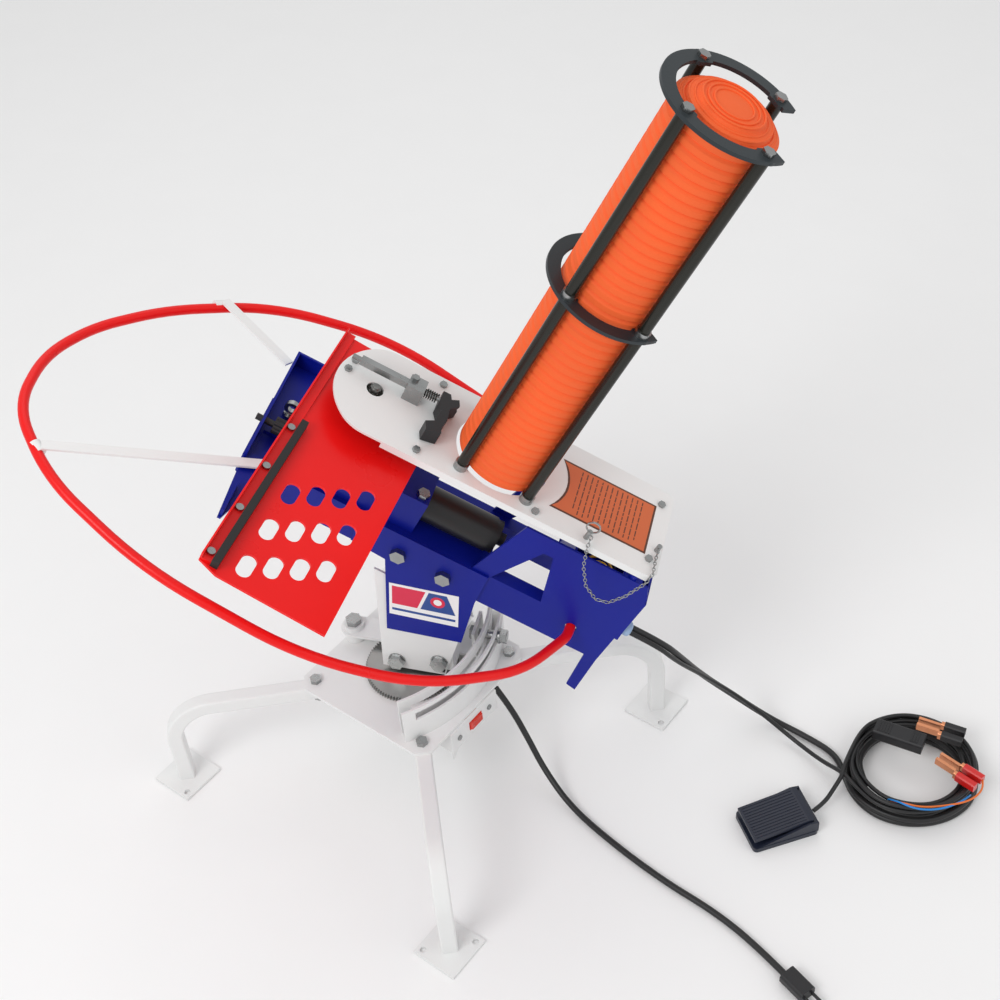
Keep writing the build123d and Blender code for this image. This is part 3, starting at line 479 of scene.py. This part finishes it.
def sleeve(name, centre, along, radius, half, finish, body):
    """Round sleeve around the hoop."""
    add_curve(name, [centre - along * half * MM, centre, centre + along * half * MM], radius, finish, body)


LEFT_ALONG = (HEAD_X * -0.8 + HEAD_Y * 0.6).normalized()
RIGHT_ALONG = (HEAD_X * 0.75 + HEAD_Y * 0.66).normalized()
HOOP_Z = -150
SLEEVE_RADIUS = 7.2
SLEEVE_HALF = 7
LEFT_PLACE = head(291, 160, HOOP_Z)
RIGHT_PLACE = head(207, -164.5, HOOP_Z)
sleeve("hoop_sleeve_left", LEFT_PLACE, LEFT_ALONG, SLEEVE_RADIUS, SLEEVE_HALF, WHITE, "head")
sleeve("hoop_sleeve_right", RIGHT_PLACE, RIGHT_ALONG, SLEEVE_RADIUS, SLEEVE_HALF, WHITE, "head")


CLIP_Z = 42
GRIP_OFFSET = 8
GRIP_LONG = 26
GRIP_HALF = 4.6
GRIP_HALF_HIGH = 5.9
GRIP_FLAT = 3
RED_CLIP = ((-700, -32), (-655, -60))
BLACK_CLIP = ((-680, -100), (-630, -112))


def grip(name, start, end, lean, finish, body):
    """Insulating sleeve with cut corners around one handle of a battery clip."""
    along = Vector((end[0] - start[0], end[1] - start[1], 0)).normalized()
    left = Vector((-along.y, along.x, 0))
    half_outline = [(-GRIP_HALF, -GRIP_HALF), (-GRIP_FLAT, -GRIP_HALF_HIGH),
                    (GRIP_FLAT, -GRIP_HALF_HIGH), (GRIP_HALF, -GRIP_HALF)]
    corners = half_outline + [(-x, -y) for x, y in half_outline]
    outline = [(lean * GRIP_OFFSET + x, y) for x, y in corners]
    rear = point(start[0], start[1], CLIP_Z)
    slabs(name, [outline], rear, left, Vector((0, 0, 1)), -0.2, GRIP_LONG, finish, body)


for clip_name, (start, end), finish, jaw_body in (("red", RED_CLIP, CLIP_RED, "red_jaw"),
                                                  ("black", BLACK_CLIP, PLASTIC, "black_jaw")):
    grip(f"{clip_name}_grip_fixed", start, end, -1, finish, "base")
    grip(f"{clip_name}_grip_moving", start, end, 1, finish, jaw_body)

# Split ends of the power lead: one reaches the red clip, the other dives between the coil's turns
CORE_RADIUS = 1.2
orange_points = [
    point(-598, 2, 26), point(-608, 10, 37.6), point(-634, 14, 38.4), point(-662, 6, 38.4),
    point(-688, -4, 40), point(-702, -18, 42), point(-705.4, -32, 42), point(-703.8, -39, 42)]
blue_points = [
    point(-594, 0, 26), point(-602, 8, 37.6), point(-628, 18, 38.4), point(-656, 13, 38.4),
    point(-680, -3, 38.4), point(-690, -16, 36), point(-692, -24, 28)]
add_curve("clip_wire_orange", orange_points, CORE_RADIUS, WIRE_ORANGE, "base")
add_curve("clip_wire_blue", blue_points, CORE_RADIUS, WIRE_BLUE, "base")

CONNECTOR_LONG = Vector((-0.971, 0.239, 0))
CONNECTOR_WIDE = Vector((-0.239, -0.971, 0))
RIB_THICK = 1.6
connector_ribs = []
for x in (4, 7.5, 11, 14.5, 18, 46, 49.5, 53):
    connector_ribs.append([(x, -9), (x + RIB_THICK, -9), (x + RIB_THICK, 9), (x, 9)])
slabs("connector_ribs", connector_ribs, point(-572, -92, 54.5), CONNECTOR_LONG, CONNECTOR_WIDE,
      -0.5, 0.9, PLASTIC, "base")

PEDAL_LONG = Vector((-0.857, -0.515, 0))
PEDAL_WIDE = Vector((0.515, -0.857, 0))
PEDAL_TOP = point(-466, 44, 23.75)
TREADLE_SLOPE = 8.0 / 71
TREADLE_LONG = (PEDAL_LONG + Vector((0, 0, TREADLE_SLOPE))).normalized()
TREAD_PITCH = 4.1
TREAD_WIDE = 1.9
treads = []
for tread in range(12):
    y = -23 + tread * TREAD_PITCH
    treads.append([(-38, y), (28, y), (28, y + TREAD_WIDE), (-38, y + TREAD_WIDE)])
slabs("pedal_ribs", treads, PEDAL_TOP, TREADLE_LONG, PEDAL_WIDE, -1.5, 1.0, NAVY, "treadle")

# Loose wires inside the rear box
for wire_index, finish in enumerate((YELLOW, YELLOW, SHEATH)):
    y = 30 - 9 * wire_index
    add_curve(f"box_wire_{wire_index}", [
        head(-288, y, -100), head(-298, y + 3, -62), head(-315, y - 2, -50), head(-332, y + 2, -60),
        head(-352, y - 4, -96)], 1.6, finish, "head")

# Studio --------------------------------------------------------------------------------------

floor = add_mesh("floor", [(-9, -9, -0.0005), (9, -9, -0.0005), (9, 9, -0.0005), (-9, 9, -0.0005)],
                 [[0, 1, 2, 3]], material("floor_white", (0.90, 0.90, 0.90), 0.8, variation=0.01, bump=0.0))


def area_light(name, place, aim, size, power):
    """Soft square light aimed at a point."""
    data = bpy.data.lights.new(name, "AREA")
    data.size = size
    data.energy = power
    lamp = bpy.data.objects.new(name, data)
    bpy.context.scene.collection.objects.link(lamp)
    lamp.location = place
    lamp.rotation_euler = (Vector(aim) - Vector(place)).to_track_quat("-Z", "Y").to_euler()


area_light("key", (0.9, 2.2, 2.6), (0, 0, 0.35), 1.4, 38)
area_light("fill", (-2.6, 0.8, 2.0), (0, 0, 0.35), 2.4, 10)
area_light("top", (0.4, -1.4, 3.0), (0, 0, 0.3), 2.4, 12)
world = bpy.data.worlds.new("world")
world.use_nodes = True
world.node_tree.nodes["Background"].inputs["Color"].default_value = (1, 1, 1, 1)
world.node_tree.nodes["Background"].inputs["Strength"].default_value = 0.68
bpy.context.scene.world = world
bpy.context.scene.view_settings.view_transform = "Standard"
